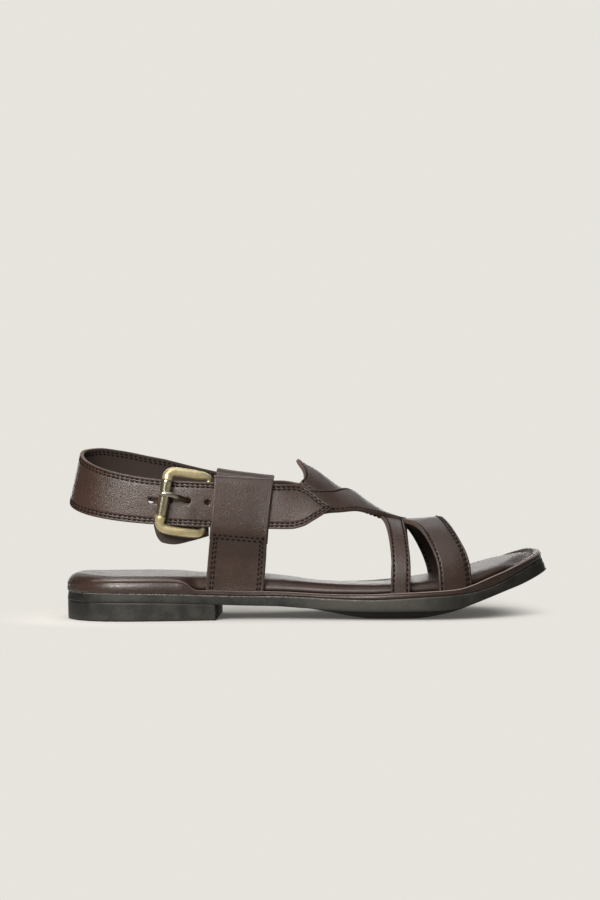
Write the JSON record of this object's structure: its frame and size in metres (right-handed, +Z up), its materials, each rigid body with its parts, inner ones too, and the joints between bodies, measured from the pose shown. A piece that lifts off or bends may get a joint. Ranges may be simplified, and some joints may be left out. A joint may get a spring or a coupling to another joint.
{
  "type": "peshawari chappal",
  "caption": "Open leather sandal with crossed instep straps, a toe band, side loops and a buckled heel strap, on a padded footbed and a low rubber sole.",
  "frame": {"origin": "centre of the bounding box on the floor that the sole stands on", "axes": "+X runs from heel to toe, +Z is up, -Y is the outer (lateral) side with the buckle"},
  "size_m": [0.2884, 0.1015, 0.101],
  "materials": {
    "sole_rubber": "charcoal rubber, rough trimmed edge",
    "heel_rubber": "charcoal rubber, one stacked seam",
    "rand_leather": "dark brown leather, burnished",
    "footbed_leather": "dark brown leather over padding, polished",
    "upper_leather": "dark brown grained leather, stitched edges",
    "loop_leather": "dark brown grained leather, stitched edges",
    "strap_leather": "dark brown grained leather, double stitched",
    "guard_leather": "dark brown leather",
    "buckle_brass": "antique brass, worn bright on the ridges"
  },
  "bodies": {
    "root": {"outsole": "sole_rubber", "heel_block": "heel_rubber", "midsole": "rand_leather", "footbed": "footbed_leather", "upper": "upper_leather", "lateral_loop": "loop_leather", "medial_loop": "loop_leather", "heel_strap": "strap_leather", "buckle_guard": "guard_leather", "buckle_frame": "buckle_brass", "buckle_prong": "buckle_brass", "buckle_roller": "buckle_brass"}
  },
  "joints": []
}
